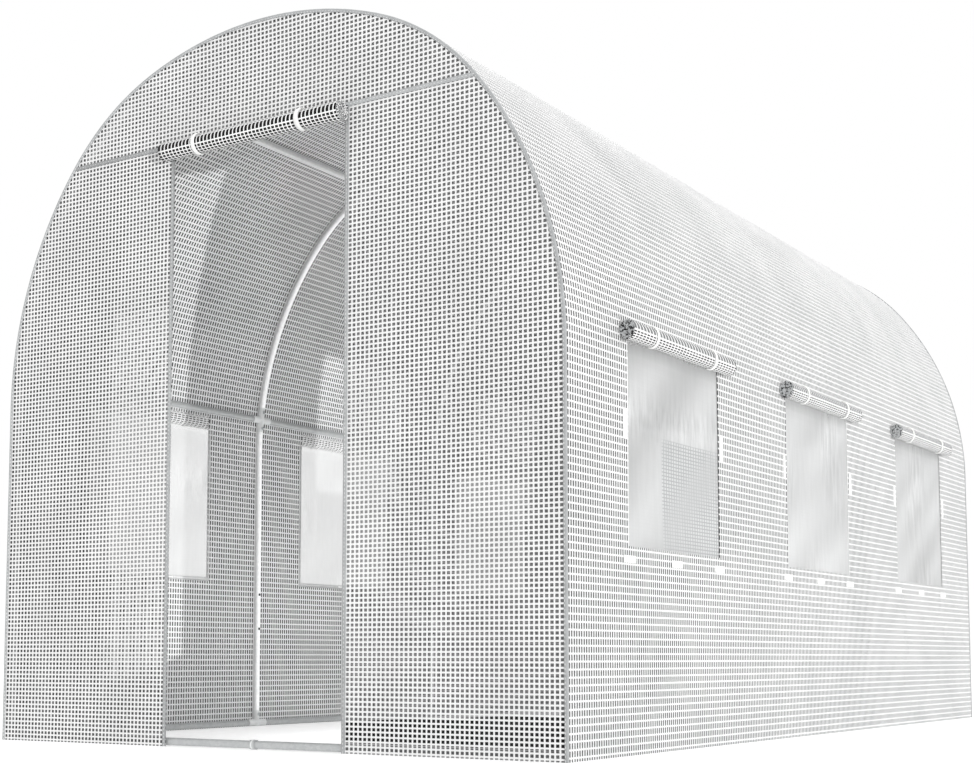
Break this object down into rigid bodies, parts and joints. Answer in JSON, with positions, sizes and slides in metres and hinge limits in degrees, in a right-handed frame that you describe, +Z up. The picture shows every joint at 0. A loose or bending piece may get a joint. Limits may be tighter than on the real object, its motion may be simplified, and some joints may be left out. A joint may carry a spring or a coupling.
{
  "type": "polytunnel greenhouse",
  "caption": "Walk-in polytunnel greenhouse: tube hoops under a gridded sheet cover, with a rolled-up door at the front and meshed windows with rolled-up flaps along both sides.",
  "frame": {"origin": "on the ground under the middle of the whole part", "axes": "+Z up, +Y from the doorway to the closed back end, +X to the right seen from the front"},
  "size_m": [2.1136, 3.5648, 2.0709],
  "materials": {
    "steel_tube": "pale grey painted steel tube",
    "joint_plastic": "white moulded tube socket",
    "cover_sheet": "translucent white sheet with a woven grid",
    "window_mesh": "fine grey insect mesh",
    "white_strap": "white webbing and hook-and-loop tape",
    "grey_tape": "grey woven binding tape"
  },
  "bodies": {
    "root": {"front_hoop": "steel_tube", "second_hoop": "steel_tube", "third_hoop": "steel_tube", "back_hoop": "steel_tube", "left_side_rail": "steel_tube", "right_side_rail": "steel_tube", "left_eave_purlin": "steel_tube", "right_eave_purlin": "steel_tube", "left_roof_purlin": "steel_tube", "right_roof_purlin": "steel_tube", "front_rail": "steel_tube", "back_rail": "steel_tube", "tube_couplings": "steel_tube", "corner_feet": "joint_plastic", "middle_feet": "joint_plastic", "eave_joints": "joint_plastic", "roof_joints": "joint_plastic", "left_wall": "cover_sheet", "right_wall": "cover_sheet", "left_haunch": "cover_sheet", "right_haunch": "cover_sheet", "left_shoulder": "cover_sheet", "right_shoulder": "cover_sheet", "roof_crown": "cover_sheet", "front_left_panel": "cover_sheet", "front_right_panel": "cover_sheet", "front_head_panel": "cover_sheet", "back_wall": "cover_sheet", "left_window_rolls": "cover_sheet", "right_window_rolls": "cover_sheet", "door_roll": "cover_sheet", "left_window_screens": "window_mesh", "right_window_screens": "window_mesh", "left_window_straps": "white_strap", "right_window_straps": "white_strap", "door_straps": "white_strap", "left_window_fasteners": "white_strap", "right_window_fasteners": "white_strap", "front_arch_binding": "grey_tape", "back_arch_binding": "grey_tape", "lintel_binding": "grey_tape", "jamb_bindings": "grey_tape"}
  },
  "joints": []
}
